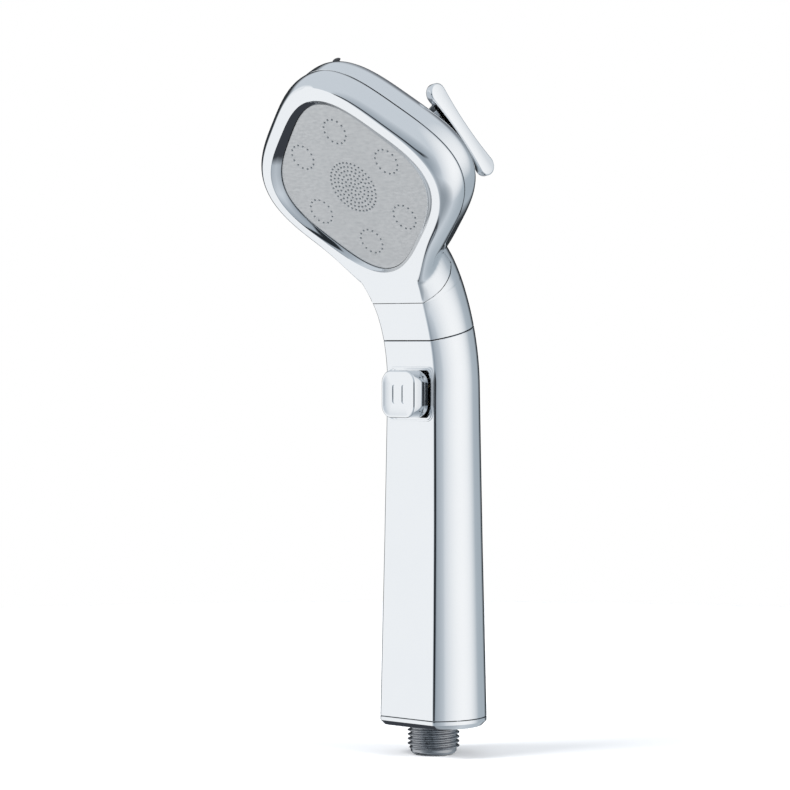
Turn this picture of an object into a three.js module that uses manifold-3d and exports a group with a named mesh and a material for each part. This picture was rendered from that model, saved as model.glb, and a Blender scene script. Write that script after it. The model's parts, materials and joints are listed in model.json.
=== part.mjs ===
// Handheld shower head: a diamond-shaped spray head on a bent neck, with a stop button on the grip,
// a mode lever behind the head and a G1/2 inlet thread at the foot. Millimetres, +Z up.
// The origin is the centre of the inlet thread's end face. The spray side faces -Y.
//
// The housing is described in "grip coordinates": across (X), along (arc length up the grip, which
// bends forwards at the neck) and deep (distance behind the front surface).
import * as THREE from "three";
import { mergeVertices } from "three/addons/utils/BufferGeometryUtils.js";
import Module from "manifold-3d";

const wasm = await Module();
wasm.setup();

// ---- driving dimensions -------------------------------------------------------------------------
const GAP = 0.3; // clearance between neighbouring pieces
const HALF_GAP = GAP / 2;
const WALL = 2.3;

const THREAD_END = 1.3; // the inlet thread ends this far up the grip coordinates
const FOOT_Z = 12.8; // underside of the bottom cap
const CAP_TOP_Z = 16.4; // seam between bottom cap and grip
const LOW_SEAM = 168; // seam between grip and neck
const TONGUE_END = 184; // seam at the lower end of the front shell
const BEND_START = 150;
const BEND_RADIUS = 72; // of the front surface
const LEAN = THREE.MathUtils.degToRad(32.2); // of the head, forwards
const FLAT_START = BEND_START + BEND_RADIUS * LEAN;
const HEAD_ALONG = 237.2; // centre of the spray face
const NECK_END = 225; // the neck is inside the head from here

// Half-width of the front flat and overall depth of the grip, by distance along it.
const GRIP_WIDTHS = [
  [0, 14.25], [16, 14.15], [55, 13.8], [100, 13.3], [144, 12.7],
  [172, 12.6], [183, 13.1], [194, 15.4], [225, 17],
];
const GRIP_DEPTHS = [
  [0, 38], [16, 37.6], [55, 35.8], [87, 34.4], [120, 33.3],
  [150, 32.4], [186, 31.2], [206, 28.2], [225, 24],
];

const FACE_HALF = 45.3; // half of the face's width, corner to corner
const FACE_SQUASH = 0.97; // its height against its width, at the front
const SEAM_SQUASH = 0.92; // and from the seam backwards
const CORNER_POWER = 3.24; // roundness of the diamond's corners
const FLARE = 5.1; // how far the side wall swells out
const FLARE_DEEP = 10; // depth of the seam between front and back shells
const FLARE_RADIUS = (FLARE * FLARE + FLARE_DEEP * FLARE_DEEP) / (2 * FLARE);
const WALL_DEEP = 18; // the head leaves the neck's outline here
const DOME_POWER = 5; // fullness of the domed back
const HEAD_DEEP = 27;
const BLEND = 16; // fillet between face and neck
const RIM_HALF = 41.1; // spray face opening, at the front
const RIM_SQUASH = 0.94;
const RIM_FLOOR_HALF = 37.1; // and at the plate
const RIM_DEEP = 1.5;
const FACE_DROP = -1.2; // the plate sits a little below the face's centre

const PLATE_HALF = 36.6;
const PLATE_THICK = 1.2;
const HOLE_RADIUS = 0.5;
const JET_CIRCLE = 24.7; // the six jet rings are on this circle
const JET_TURN = THREE.MathUtils.degToRad(-5.4);
const JET_RADIUS = 5.2;
const JET_COUNT = 9;
const CENTRE_ROWS = [[0, 1], [4.2, 6], [8.6, 12]]; // radius and count of the middle jets
const PLATE_BACK = RIM_DEEP + PLATE_THICK;

const THREAD_MAJOR = 20.955 / 2; // G1/2
const THREAD_PITCH = 1.814;
const THREAD_DEPTH = 1.162;
const THREAD_LEAD = 1.9;
const THREAD_CRESTS = 5;
const INLET_BORE = 6.5;

const BUTTON_Z = 146.6;
const BUTTON_WIDE = 18;
const BUTTON_TALL = 19;
const BUTTON_CORNER = 5;
const BUTTON_PROUD = 7.8;
const FRAME_WIDE = 21.6;
const FRAME_TALL = 21.2;

const VALVE_BORE = 5;
const VALVE_BARREL = 7.2;
const VALVE_FRONT = -5.6;
const VALVE_BACK = 14.2;
const PASSAGE = 1.9;
const TUBE_OUTER = 7;
const TUBE_BORE = 5.2;
const RISER_OUTER = 5.2;
const RISER_BORE = 3.6;
const RISER_DEEP = 17.3; // depth of the riser's axis in the head

const LEVER_ANGLE = THREE.MathUtils.degToRad(9.3); // above +X
const LEVER_REACH = 38;
const PADDLE_LONG = 43.2;
const PADDLE_THICK = 3.5;
const PADDLE_DEEP = 31; // depth of its middle in the head
const PADDLE_TILT = THREE.MathUtils.degToRad(7);
const STUD_DEEP = 20; // depth of the stud at the head's top
const STUD_FOOT = 43.8;

// ---- colours ------------------------------------------------------------------------------------
function material(color, roughness, metalness) {
  return new THREE.MeshStandardMaterial({ color, roughness, metalness });
}

const CHROME = material(0xe4e7ea, 0.06, 1);
const STEEL = material(0xa9abac, 0.35, 1);
const BRASS = material(0xb99a52, 0.3, 1);
const WATERWAY = material(0xd9d8d2, 0.5, 0);
const BLACK = material(0x1b1c1e, 0.5, 0);
const RUBBER = material(0x202020, 0.8, 0);
const SPRING_STEEL = material(0x8f9396, 0.3, 1);

// ---- solids and meshes --------------------------------------------------------------------------
const handset = new THREE.Group();

// A closed three.js geometry as a solid, with its faces turned outwards.
function solid(geometry) {
  const plain = new THREE.BufferGeometry();
  plain.setAttribute("position", geometry.getAttribute("position"));
  plain.setIndex(geometry.index);
  const merged = mergeVertices(plain, 1e-4);
  const build = (corners) =>
    new wasm.Manifold(
      new wasm.Mesh({
        numProp: 3,
        vertProperties: new Float32Array(merged.attributes.position.array),
        triVerts: new Uint32Array(corners),
      }),
    );
  const corners = cleanTriangles(merged);
  const made = build(corners);
  return made.volume() < 0 ? build(corners.reverse()) : made;
}

// The triangle list without triangles that have two corners in one place.
function cleanTriangles(geometry) {
  const index = geometry.index.array;
  const kept = [];
  for (let i = 0; i < index.length; i += 3) {
    const [a, b, c] = [index[i], index[i + 1], index[i + 2]];
    if (a !== b && b !== c && c !== a) kept.push(a, b, c);
  }
  return kept;
}

// A solid as a three.js geometry.
function geometryOf(shape) {
  const mesh = shape.getMesh();
  const geometry = new THREE.BufferGeometry();
  const positions = new Float32Array(mesh.numVert * 3);
  for (let i = 0; i < mesh.numVert; i++) {
    const start = i * mesh.numProp;
    positions.set(mesh.vertProperties.subarray(start, start + 3), i * 3);
  }
  geometry.setAttribute("position", new THREE.BufferAttribute(positions, 3));
  geometry.setIndex(new THREE.BufferAttribute(new Uint32Array(mesh.triVerts), 1));
  const faceted = geometry.toNonIndexed();
  faceted.computeVertexNormals();
  return faceted;
}

const union = (first, ...others) => others.reduce((sum, next) => sum.add(next), first);
const without = (first, ...others) => others.reduce((rest, next) => rest.subtract(next), first);

function addPiece(name, shape, look, parent = handset) {
  const mesh = new THREE.Mesh(geometryOf(shape), look);
  mesh.name = name;
  parent.add(mesh);
  return mesh;
}

// ---- general shapes -----------------------------------------------------------------------------
// A solid of revolution about Z from a closed profile of [radius, z].
function turnedZ(profile, segments = 18) {
  return solid(latheOf(profile, segments).rotateX(Math.PI / 2));
}

// The same about Y, from [radius, y].
const turnedY = (profile, segments = 18) => solid(latheOf(profile, segments));

function latheOf(profile, segments) {
  const points = [...profile, profile[0]].map(([r, h]) => new THREE.Vector2(r, h));
  return new THREE.LatheGeometry(points, segments);
}

const rod = (radius, low, high) => [[0, low], [radius, low], [radius, high], [0, high]];

// The round section of a seal, as a closed profile.
function sealProfile(ring, cord, height) {
  const sides = 6;
  return Array.from({ length: sides }, (_, i) => {
    const angle = (i / sides) * 2 * Math.PI;
    return [ring + cord * Math.cos(angle), height + cord * Math.sin(angle)];
  });
}

// A shape drawn in X and Z, given thickness from y = front to y = back.
function platelet(shape, front, back, curveSegments = 4) {
  const options = { depth: back - front, bevelEnabled: false, curveSegments };
  return solid(new THREE.ExtrudeGeometry(shape, options).rotateX(Math.PI / 2).translate(0, back, 0));
}

// The same, following the front of the grip, between two depths.
function laidOnGrip(shape, front, back) {
  const options = { depth: back - front, bevelEnabled: false, curveSegments: 4 };
  const geometry = new THREE.ExtrudeGeometry(shape, options);
  const spots = geometry.getAttribute("position");
  for (let i = 0; i < spots.count; i++) {
    const spot = place(spots.getX(i), spots.getY(i), back - spots.getZ(i));
    spots.setXYZ(i, spot.x, spot.y, spot.z);
  }
  return solid(geometry);
}

function roundedRectangle(wide, tall, corner, middle = 0) {
  const shape = new THREE.Shape();
  const x = wide / 2 - corner;
  const z = tall / 2 - corner;
  shape.absarc(x, middle + z, corner, 0, Math.PI / 2);
  shape.absarc(-x, middle + z, corner, Math.PI / 2, Math.PI);
  shape.absarc(-x, middle - z, corner, Math.PI, 1.5 * Math.PI);
  shape.absarc(x, middle - z, corner, 1.5 * Math.PI, 2 * Math.PI);
  return shape;
}

// A closed skin over rings of points. Each ring mirrors itself: its point i faces point count - 1 - i,
// so each end is closed with a ladder between its two halves.
function loft(rings) {
  const count = rings[0].length;
  const corners = [];
  const last = rings.length - 1;
  for (let r = 0; r < last; r++) {
    for (let i = 0; i < count; i++) {
      const a = r * count + i;
      const b = r * count + ((i + 1) % count);
      corners.push(a, b, b + count, a, b + count, a + count);
    }
  }
  for (let i = 0; i < count / 2 - 1; i++) {
    const mirror = count - 1 - i;
    corners.push(i, mirror, i + 1, mirror, mirror - 1, i + 1);
    const top = last * count;
    corners.push(top + i, top + i + 1, top + mirror, top + mirror, top + i + 1, top + mirror - 1);
  }
  const geometry = new THREE.BufferGeometry().setFromPoints(rings.flat());
  geometry.setIndex(corners);
  return solid(geometry);
}

// ---- grip coordinates ---------------------------------------------------------------------------
// Smooth value between table entries [position, value].
function fromTable(table, position) {
  const after = table.findIndex(([at]) => at > position);
  if (after < 0) return table[table.length - 1][1];
  if (after === 0) return table[0][1];
  const [x0, y0] = table[after - 1];
  const [x1, y1] = table[after];
  return THREE.MathUtils.lerp(y0, y1, (position - x0) / (x1 - x0));
}

// The grip's section is a circle with its front cut flat: radius, and the centre's depth.
function gripSection(along) {
  const half = fromTable(GRIP_WIDTHS, along);
  const deep = fromTable(GRIP_DEPTHS, along);
  return {
    radius: (deep * deep + half * half) / (2 * deep),
    centre: (deep * deep - half * half) / (2 * deep),
  };
}

// The point in space of a place in grip coordinates.
function place(across, along, deep) {
  const turn = THREE.MathUtils.clamp((along - BEND_START) / BEND_RADIUS, 0, LEAN);
  const straight = Math.min(along, BEND_START);
  const beyond = Math.max(along - FLAT_START, 0);
  const bend = BEND_RADIUS * (1 - Math.cos(turn));
  const frontY = -gripSection(straight).centre - bend - beyond * Math.sin(turn);
  const frontZ = straight + BEND_RADIUS * Math.sin(turn) + beyond * Math.cos(turn);
  return new THREE.Vector3(across, frontY + deep * Math.cos(turn), frontZ + deep * Math.sin(turn));
}

// One ring of the grip's skin, inset from the outer surface.
function gripRing(along, inset) {
  const { radius, centre } = gripSection(along);
  const r = radius - inset;
  const start = Math.acos((centre - inset) / r);
  const steps = 8;
  const half = Array.from({ length: steps }, (_, i) => {
    const angle = start + ((Math.PI - start) * i) / steps;
    return [r * Math.sin(angle), centre - r * Math.cos(angle)];
  });
  const right = half.map(([a, c]) => place(a, along, c));
  const left = half.map(([a, c]) => place(-a, along, c));
  return [...right, place(0, along, centre + r), ...left.reverse()];
}

// The grip between two distances along it, with rings closer together where it bends.
function gripSolid(low, high, inset) {
  const stations = [low, 34, 55, 87, 120, BEND_START];
  for (let along = BEND_START + 6; along < high - 2; along += 6) stations.push(along);
  stations.push(high);
  return loft(stations.filter((s) => s >= low && s <= high).map((along) => gripRing(along, inset)));
}

// Everything between two limits of depth, which may change along the grip, as a slab wider than the part.
function slab(outline) {
  const shape = new THREE.Shape(densified(outline).map(([s, c]) => new THREE.Vector2(s, c)));
  const width = 2 * (FACE_HALF + FLARE + 10);
  const geometry = new THREE.ExtrudeGeometry(shape, { depth: width, bevelEnabled: false });
  const spots = geometry.getAttribute("position");
  for (let i = 0; i < spots.count; i++) {
    const spot = place(spots.getZ(i) - width / 2, spots.getX(i), spots.getY(i));
    spots.setXYZ(i, spot.x, spot.y, spot.z);
  }
  return solid(geometry);
}

// The outline with extra points, so that it follows the bend.
function densified(outline, longest = 6) {
  const points = [];
  outline.forEach(([s0, c0], i) => {
    const [s1, c1] = outline[(i + 1) % outline.length];
    const parts = Math.ceil(Math.abs(s1 - s0) / longest) || 1;
    for (let k = 0; k < parts; k++) {
      points.push([s0 + ((s1 - s0) * k) / parts, c0 + ((c1 - c0) * k) / parts]);
    }
  });
  return points;
}

// ---- head outline -------------------------------------------------------------------------------
// Right half of a rounded diamond, bottom to top, as [across, up].
function diamondHalf(half, count, squash = 1) {
  return Array.from({ length: count }, (_, i) => {
    const angle = -Math.PI / 2 + (Math.PI * (i + 0.5)) / count;
    const turned = angle + Math.PI / 4;
    const sum = Math.abs(Math.cos(turned)) ** CORNER_POWER + Math.abs(Math.sin(turned)) ** CORNER_POWER;
    const reach = half * Math.SQRT1_2 * (2 / sum) ** (1 / CORNER_POWER);
    return [reach * Math.cos(angle), squash * reach * Math.sin(angle)];
  });
}

// Half-width of that diamond at a height, found by halving.
function diamondWidth(half, up, squash) {
  const height = Math.abs(up) / squash;
  if (height >= half) return 0;
  const target = 2 * half ** CORNER_POWER;
  let low = 0;
  let high = half * 1.2;
  for (let i = 0; i < 30; i++) {
    const middle = (low + high) / 2;
    const sum = (middle + height) ** CORNER_POWER + Math.abs(middle - height) ** CORNER_POWER;
    if (sum > target) high = middle;
    else low = middle;
  }
  return low;
}

// Larger of two widths, with a fillet where they are close.
function blended(a, b, fillet) {
  const near = Math.max(fillet - Math.abs(a - b), 0) / fillet;
  return Math.max(a, b) + (near * near * fillet) / 4;
}

// Half-width of the diamond at a depth: the side wall swells out, then the back closes as a dome.
function headHalf(deep) {
  if (deep < FLARE_DEEP) {
    const rise = Math.sqrt(FLARE_RADIUS ** 2 - (FLARE_DEEP - deep) ** 2);
    return FACE_HALF + FLARE - FLARE_RADIUS + rise;
  }
  const dome = (deep - FLARE_DEEP) / (HEAD_DEEP - FLARE_DEEP);
  return (FACE_HALF + FLARE) * Math.sqrt(Math.max(1 - dome ** DOME_POWER, 0.0064));
}

// Height of the diamond against its width at a depth.
function squashAt(deep) {
  return THREE.MathUtils.lerp(FACE_SQUASH, SEAM_SQUASH, Math.min(deep / FLARE_DEEP, 1));
}

// Outline of head and neck together at one depth.
function wallRing(deep, inset, low) {
  const half = headHalf(deep) - inset;
  const squash = squashAt(deep);
  const top = half * squash - 0.02;
  const fillet = Math.max(BLEND * (1 - deep / 13), 1.5);
  const below = [0, 0.2, 0.4, 0.6, 0.75, 0.9].map((f) => (low - HEAD_ALONG) * (1 - f));
  const above = [0, 0.1, 0.25, 0.42, 0.58, 0.73, 0.86, 0.96, 1].map((f) => top * f);
  const points = [...below, ...above].map((up) => {
    const { radius, centre } = gripSection(HEAD_ALONG + up);
    const neck = Math.sqrt(Math.max((radius - inset) ** 2 - (centre - deep) ** 2, 1));
    const diamond = diamondWidth(half, up, squash);
    const wide = up < 0 ? blended(diamond, neck, fillet) : diamond;
    return [Math.max(wide, 0.4), HEAD_ALONG + up];
  });
  const right = points.map(([a, s]) => place(a, s, deep));
  const left = points.map(([a, s]) => place(-a, s, deep));
  return [...right, ...left.reverse()];
}

// Head walls, dome and neck as one solid, inset from the outer surface.
function headSolid(inset, low) {
  const fillets = [0, 1.5, 4, FLARE_DEEP].filter((c) => c > inset);
  const depths = [inset, ...fillets, 14.5, WALL_DEEP].filter((c, i, all) => c !== all[i - 1]);
  const wall = loft(depths.map((c) => wallRing(c, inset, low + 8)));
  const domeTop = HEAD_DEEP - inset;
  const domeFront = WALL_DEEP - 0.1;
  const domeDepths = [0, 0.45, 0.78, 0.95, 1].map((f) => domeFront + f * (domeTop - domeFront));
  const dome = loft(domeDepths.map((c) => {
    const half = Math.max(headHalf(c + inset * 0.98) - inset, 3);
    return diamondRing(half, c, SEAM_SQUASH);
  }));
  return union(wall, dome, gripSolid(low, NECK_END, inset));
}

// A diamond ring parallel to the face, in grip coordinates.
function diamondRing(half, deep, squash, drop = 0) {
  const points = diamondHalf(half, 14, squash);
  const right = points.map(([a, up]) => place(a, HEAD_ALONG + drop + up, deep));
  const left = points.map(([a, up]) => place(-a, HEAD_ALONG + drop + up, deep));
  return [...right, ...left.reverse()];
}

// A stack of diamond rings given as [half, depth, squash, drop].
const diamondStack = (stack) => loft(stack.map((ring) => diamondRing(...ring)));

// ---- housing shells -----------------------------------------------------------------------------
// Limits of the front shell, moved by "shift": a tongue down the neck that steps forward to the
// head's seam.
function frontRegion(shift) {
  return [
    [TONGUE_END + shift, -6],
    [TONGUE_END + 2 + shift, 8],
    [TONGUE_END + 4.5 + shift, 15],
    [TONGUE_END + 7 + shift, 19 - shift],
    [197, 17 - shift],
    [205, FLARE_DEEP - shift],
    [300, FLARE_DEEP - shift],
    [300, -6],
  ];
}

function buildShells() {
  const outer = headSolid(0, LOW_SEAM + HALF_GAP);
  const inner = headSolid(WALL, LOW_SEAM - 6);
  const shell = without(outer, inner);
  const opening = diamondStack([
    [RIM_HALF + 1, -1, RIM_SQUASH, FACE_DROP / 3],
    [RIM_HALF, 0, RIM_SQUASH, FACE_DROP / 3],
    [RIM_FLOOR_HALF, RIM_DEEP, 1, FACE_DROP],
    [RIM_FLOOR_HALF, 6, 1, FACE_DROP],
  ]);
  addPiece("front_shell", without(shell.intersect(slab(frontRegion(HALF_GAP))), opening), CHROME);
  const spindleHole = headRod(5.4, HEAD_DEEP - 6, HEAD_DEEP + 4);
  const behind = without(shell, slab(frontRegion(-HALF_GAP)), spindleHole, studHole());
  addPiece("back_shell", behind, CHROME);
}

// A round bar square to the face at the head's centre, between two depths.
function headRod(radius, front, back) {
  return inHead(turnedY(rod(radius, front, back)));
}

// Moves a solid from the head's own frame to the part's frame.
const HEAD_FRAME = new THREE.Matrix4().makeRotationX(LEAN).setPosition(place(0, HEAD_ALONG, 0));
const inHead = (shape) => shape.transform([...HEAD_FRAME.elements]);

// Small blind hole at the top of the back shell for the locating stud.
function studHole() {
  return inHead(turnedZ(rod(1.4, STUD_FOOT - GAP, 60), 12).transform(moved(0, STUD_DEEP, 0)));
}

const moved = (x, y, z) => [...new THREE.Matrix4().makeTranslation(x, y, z).elements];
const turned = (axis, angle) => {
  const way = { x: "makeRotationX", y: "makeRotationY", z: "makeRotationZ" }[axis];
  return [...new THREE.Matrix4()[way](angle).elements];
};

function buildGrip() {
  const outer = gripSolid(CAP_TOP_Z + HALF_GAP, LOW_SEAM - HALF_GAP, 0);
  const inner = gripSolid(FOOT_Z - 5, LOW_SEAM + 6, WALL);
  const window = platelet(roundedRectangle(FRAME_WIDE + GAP, FRAME_TALL + GAP, 5, BUTTON_Z), -30, -4);
  addPiece("handle_shell", without(outer, inner, window), CHROME);

  const rings = [[FOOT_Z, 2.2], [FOOT_Z + 0.2, 1.8], [FOOT_Z + 1.8, 0], [CAP_TOP_Z - HALF_GAP, 0]];
  const disc = loft(rings.map(([along, inset]) => gripRing(along, inset)));
  const spigot = without(
    gripSolid(CAP_TOP_Z - 1, CAP_TOP_Z + 6, WALL + GAP),
    turnedZ(rod(13.8, CAP_TOP_Z - 0.2, CAP_TOP_Z + 8)),
  );
  addPiece("bottom_cap", without(union(disc, spigot), turnedZ(rod(THREAD_MAJOR + GAP, 0, 40))), CHROME);
}

// ---- inlet --------------------------------------------------------------------------------------
function buildInlet() {
  const root = THREAD_MAJOR - THREAD_DEPTH;
  const crests = [];
  for (let i = 0; i < THREAD_CRESTS; i++) {
    const z = THREAD_END + THREAD_LEAD + i * THREAD_PITCH;
    crests.push([root, z], [THREAD_MAJOR, z + THREAD_PITCH / 2]);
  }
  const collar = CAP_TOP_Z + GAP;
  const profile = [
    [INLET_BORE, THREAD_END],
    [root - 0.6, THREAD_END],
    [root - 0.1, THREAD_END + THREAD_LEAD - 0.5],
    ...crests,
    [root, collar],
    [13.4, collar],
    [13.4, collar + 4],
    [11, collar + 4],
    [11, 32],
    [8.9, 32],
    [8.9, 24],
    [INLET_BORE, 24],
  ];
  addPiece("inlet_nipple", turnedZ(profile, 22), CHROME);

  const screenHoles = [[0, 0], ...circle(3.6, 6)].map(([x, y]) =>
    turnedZ(rod(1.1, 0, 10), 5).transform(moved(x, y, 0)),
  );
  const screen = turnedZ([[0, 3.9], [4.6, 3.2], [6.2, 2.2], [6.2, 3.4], [4.8, 4.2], [0, 4.9]], 14);
  addPiece("inlet_screen", without(screen, ...screenHoles), STEEL).position.z = THREAD_END;
  addPiece("flow_limiter", turnedZ([[2.2, 9], [6.2, 9], [6.2, 12], [3.6, 12]], 16), WATERWAY);

  const groove = [[TUBE_OUTER, 28.2], [6.1, 28.2], [6.1, 30.2], [TUBE_OUTER, 30.2]];
  const tube = [[TUBE_BORE, 24.4], [TUBE_OUTER, 24.4], ...groove, [TUBE_OUTER, 130], [TUBE_BORE, 130]];
  addPiece("lower_tube", turnedZ(tube, 16), WATERWAY);
  addPiece("lower_tube_ring", turnedZ(sealProfile(7.4, 0.95, 29.2), 16), RUBBER);
}

// Points evenly round a circle, as pairs.
function circle(radius, count, phase = 0) {
  return Array.from({ length: count }, (_, i) => {
    const angle = phase + (i / count) * 2 * Math.PI;
    return [radius * Math.cos(angle), radius * Math.sin(angle)];
  });
}

// ---- stop valve and button ----------------------------------------------------------------------
function buildValve() {
  const upright = turnedZ([
    [0, 122], [TUBE_BORE - GAP, 122], [TUBE_BORE - GAP, 130.3], [5.8, 130.3],
    [5.8, 157], [6.9, 157], [6.9, 169], [0, 169],
  ], 16);
  const barrel = turnedY(rod(VALVE_BARREL, VALVE_FRONT, VALVE_BACK)).transform(moved(0, 0, BUTTON_Z));
  const way = [[0, 121], [3.6, 121], [3.6, 134], [PASSAGE, 136], [PASSAGE, 158], [0, 158]];
  const passage = turnedZ(way, 12);
  const socket = RISER_OUTER + GAP;
  const outlet = turnedZ([[0, 157], [3.6, 157], [3.6, 162], [socket, 162], [socket, 170], [0, 170]], 14);
  const hollow = turnedY(rod(VALVE_BORE, VALVE_FRONT - 1, VALVE_BACK - 1.5));
  const bore = hollow.transform(moved(0, 0, BUTTON_Z));
  addPiece("valve_body", without(union(upright, barrel), passage, outlet, bore), WATERWAY);

  const button = new THREE.Group();
  button.position.z = BUTTON_Z;
  handset.add(button);
  const front = -gripSection(BUTTON_Z).centre;
  buildPlunger(button, front);
  buildButton(button, front);
}

function buildPlunger(button, front) {
  const land = VALVE_BORE - GAP;
  const groove = 3.3;
  const profile = [
    [0, front - 3],
    [2.4, front - 3],
    [2.4, VALVE_FRONT + 0.2],
    [land, VALVE_FRONT + 0.2],
    [land, -5],
    [groove, -5],
    [groove, -3.4],
    [land, -3.4],
    [land, -2],
    [2.2, -1.6],
    [2.2, 1.6],
    [land, 2.2],
    [land, 3.1],
    [groove, 3.1],
    [groove, 4.7],
    [land, 4.7],
    [land, 5.4],
    [0, 5.4],
  ];
  addPiece("valve_plunger", turnedY(profile, 14), BRASS, button);
  addPiece("plunger_ring_front", turnedY(sealProfile(4.2, 0.55, -4.2), 12), RUBBER, button);
  addPiece("plunger_ring_back", turnedY(sealProfile(4.2, 0.55, 3.9), 12), RUBBER, button);
  addPiece("button_spring", helixSpring(3.7, 0.4, 5.8, VALVE_BACK - 1.9, 2.5), SPRING_STEEL, button);
}

// A coil spring about Y.
function helixSpring(radius, wire, low, high, turns, stepsPerTurn = 8) {
  class Helix extends THREE.Curve {
    getPoint(t) {
      const angle = t * turns * 2 * Math.PI;
      const y = THREE.MathUtils.lerp(low + wire, high - wire, t);
      return new THREE.Vector3(radius * Math.cos(angle), y, radius * Math.sin(angle));
    }
  }
  const section = new THREE.Shape(circle(wire, 5).map(([x, y]) => new THREE.Vector2(x, y)));
  const steps = Math.round(turns * stepsPerTurn);
  const options = { steps, extrudePath: new Helix(), bevelEnabled: false };
  return solid(new THREE.ExtrudeGeometry(section, options));
}

function buildButton(button, front) {
  const face = front - BUTTON_PROUD;
  const skirt = front + 1.2;
  const flange = roundedRectangle(BUTTON_WIDE + 1.8, BUTTON_TALL + 1.8, BUTTON_CORNER + 0.9);
  const cap = union(
    platelet(roundedRectangle(BUTTON_WIDE - 1, BUTTON_TALL - 1, BUTTON_CORNER - 0.5), face, face + 0.7),
    platelet(roundedRectangle(BUTTON_WIDE, BUTTON_TALL, BUTTON_CORNER), face + 0.6, skirt),
    platelet(flange, skirt - 0.3, skirt + 1.2),
  );
  const inside = roundedRectangle(BUTTON_WIDE - 3.2, BUTTON_TALL - 3.2, 3.4);
  const hollow = platelet(inside, face + 2.2, skirt + 2);
  const boss = without(
    turnedY(rod(4.2, face + 2, skirt), 20),
    turnedY(rod(2.7, front - 3.3, skirt + 1), 16),
  );
  const bars = [-2.6, 2.6].map((x) =>
    platelet(roundedRectangle(2.2, 8.4, 1), face - 1, face + 0.4, 3).transform(moved(x, 0, 0)),
  );
  addPiece("button_cap", without(union(without(cap, hollow), boss), ...bars), CHROME, button);

  const edge = roundedRectangle(FRAME_WIDE + 2.4, FRAME_TALL + 1, 3.4, BUTTON_Z);
  const lip = laidOnGrip(edge, -0.9, -GAP);
  const outline = roundedRectangle(FRAME_WIDE - GAP, FRAME_TALL - GAP, 4.9, BUTTON_Z);
  const sleeve = laidOnGrip(outline, -0.5, 0.6);
  const opening = roundedRectangle(BUTTON_WIDE + 0.8, BUTTON_TALL + 0.8, BUTTON_CORNER + 0.4, BUTTON_Z);
  addPiece("button_frame", without(union(lip, sleeve), platelet(opening, front - 4, front + 4)), CHROME);
}

// ---- riser to the head --------------------------------------------------------------------------
// Centre line of the riser: straight up from the valve, round the bend and into the diverter.
function riserCurve() {
  const foot = [162.4, 170].map((z) => new THREE.Vector3(0, 0, z));
  const bend = [[180, 16.7], [188, 17.2]].map(([along, deep]) => place(0, along, deep));
  const neck = [196, 204, 219].map((along) => place(0, along, RISER_DEEP));
  return new THREE.CatmullRomCurve3([...foot, ...bend, ...neck]);
}

function buildRiser() {
  const ring = (radius) => circle(radius, 12).map(([x, y]) => new THREE.Vector2(x, y));
  const section = new THREE.Shape(ring(RISER_OUTER));
  section.holes.push(new THREE.Path(ring(RISER_BORE)));
  const options = { steps: 9, extrudePath: riserCurve(), bevelEnabled: false };
  addPiece("riser_tube", solid(new THREE.ExtrudeGeometry(section, options)), WATERWAY);
}

// ---- pieces in the head -------------------------------------------------------------------------
const head = new THREE.Group();
head.rotation.x = LEAN;
head.position.copy(place(0, HEAD_ALONG, 0));
handset.add(head);

function diamondShape(half) {
  const points = diamondHalf(half, 13);
  const all = [...points, ...points.map(([x, z]) => [-x, z]).reverse()];
  return new THREE.Shape(all.map(([x, z]) => new THREE.Vector2(x, z + FACE_DROP)));
}

function roundHole(x, z, radius, sides) {
  return new THREE.Path(circle(radius, sides).map(([dx, dz]) => new THREE.Vector2(x + dx, z + dz)));
}

// Centres of the six outer jet rings.
function jetCentres() {
  return circle(JET_CIRCLE, 6, Math.PI / 2 + JET_TURN).map(([x, z]) => [x, z + FACE_DROP]);
}


function buildSprayPlate() {
  const shape = diamondShape(PLATE_HALF);
  for (const [x, z] of jetCentres()) {
    circle(JET_RADIUS, JET_COUNT).forEach(([dx, dz]) => {
      shape.holes.push(roundHole(x + dx, z + dz, HOLE_RADIUS, 4));
    });
  }
  for (const [radius, count] of CENTRE_ROWS) {
    circle(radius, count).forEach(([x, z]) => {
      shape.holes.push(roundHole(x, z + FACE_DROP, HOLE_RADIUS, 4));
    });
  }
  addPiece("spray_plate", platelet(shape, RIM_DEEP + 0.2, PLATE_BACK + 0.2), STEEL, head);
}

function buildChambers() {
  const jets = diamondShape(RIM_FLOOR_HALF + 2.2);
  for (const [x, z] of jetCentres()) jets.holes.push(roundHole(x, z, 6.6, 10));
  jets.holes.push(roundHole(0, FACE_DROP, 12, 16));
  const front = 6.2;
  const outline = holed(diamondShape(RIM_FLOOR_HALF - 0.6), jets.holes);
  const plug = platelet(outline, PLATE_BACK + 2 * GAP, front + 0.1);
  addPiece("jet_divider", union(plug, platelet(jets, front, front + 1.6)), BLACK, head);

  const wall = diamondShape(RIM_FLOOR_HALF + 1.8);
  wall.holes.push(new THREE.Path(diamondShape(RIM_FLOOR_HALF - 1).getPoints()));
  addPiece("chamber_seal", platelet(wall, front + 1.9, front + 3.4), RUBBER, head);

  const cover = diamondShape(RIM_FLOOR_HALF + 2);
  circle(9, 3, Math.PI / 2).forEach(([x, z]) => cover.holes.push(roundHole(x, z, 2.6, 12)));
  circle(SCREW_CIRCLE, 3, Math.PI / 2).forEach(([x, z]) => cover.holes.push(roundHole(x, z, 1.6, 10)));
  addPiece("distributor_plate", platelet(cover, front + 3.7, front + 5.4), WATERWAY, head);
}

function holed(shape, holes) {
  shape.holes.push(...holes);
  return shape;
}

const SCREW_CIRCLE = 20;
const DIVERTER_FRONT = 11.9;
const DIVERTER_BACK = 21.6;

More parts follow.
